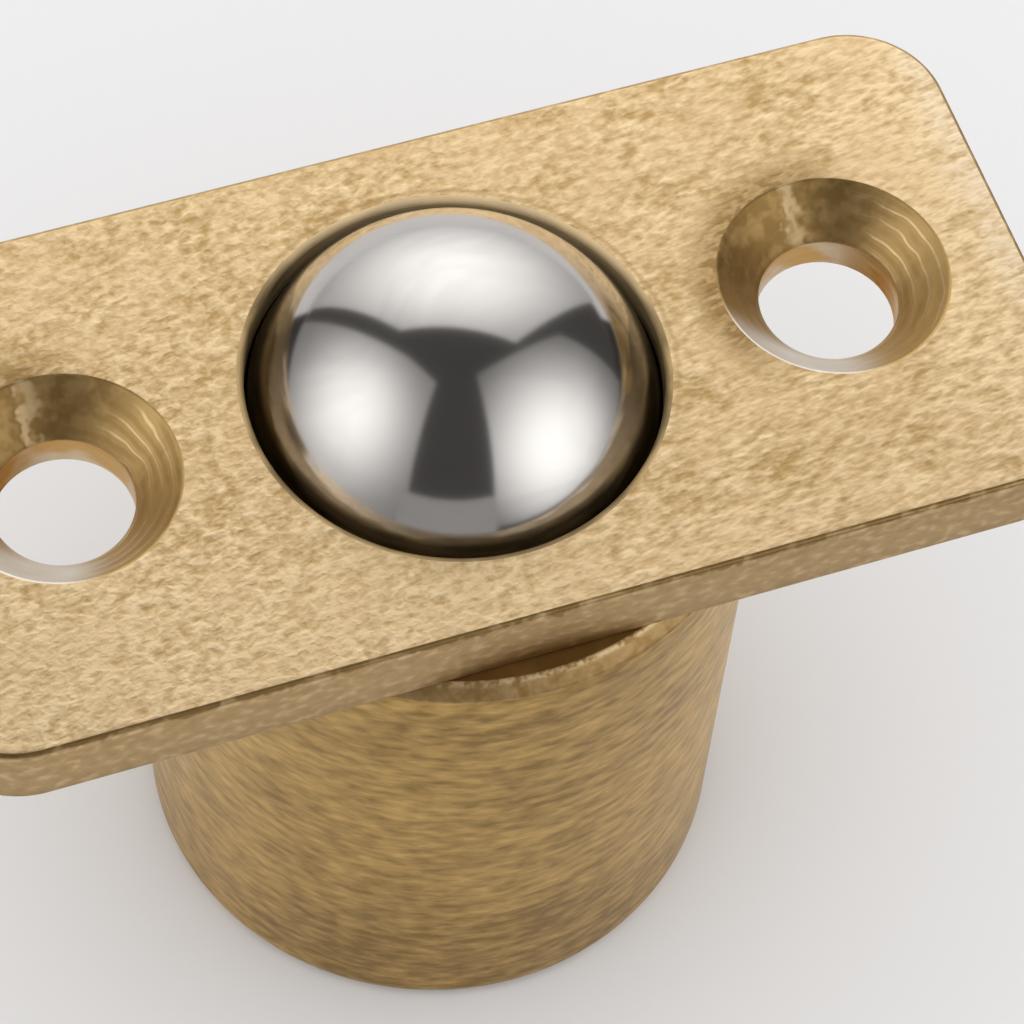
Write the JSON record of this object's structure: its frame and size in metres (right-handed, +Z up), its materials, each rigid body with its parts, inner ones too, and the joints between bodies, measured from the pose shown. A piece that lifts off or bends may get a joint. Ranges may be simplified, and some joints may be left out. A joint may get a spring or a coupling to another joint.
{
  "type": "ball catch",
  "caption": "Brass mortice ball catch: countersunk rectangular face plate on a round barrel, with a sprung steel ball that clicks into a strike.",
  "frame": {"origin": "middle of the barrel's flat foot", "axes": "+X along the face plate, +Z up along the barrel, out of the face"},
  "size_m": [0.0336, 0.0178, 0.0255],
  "materials": {
    "plate_brass": "satin, sanded by hand",
    "barrel_brass": "satin, brushed around",
    "spring_steel": "drawn wire",
    "ball_steel": "mirror polish"
  },
  "bodies": {
    "housing": {"face_plate": "plate_brass", "barrel": "barrel_brass", "spring": "spring_steel"},
    "ball": {"ball": "ball_steel"}
  },
  "joints": [
    {"name": "ball_press", "type": "slide", "parent": "housing", "child": "ball", "axis": [0, 0, -1], "range_m": [0, 0.0035], "stiffness_N_per_m": 3050, "springref_m": -0.0015, "deforming": ["spring"]}
  ]
}
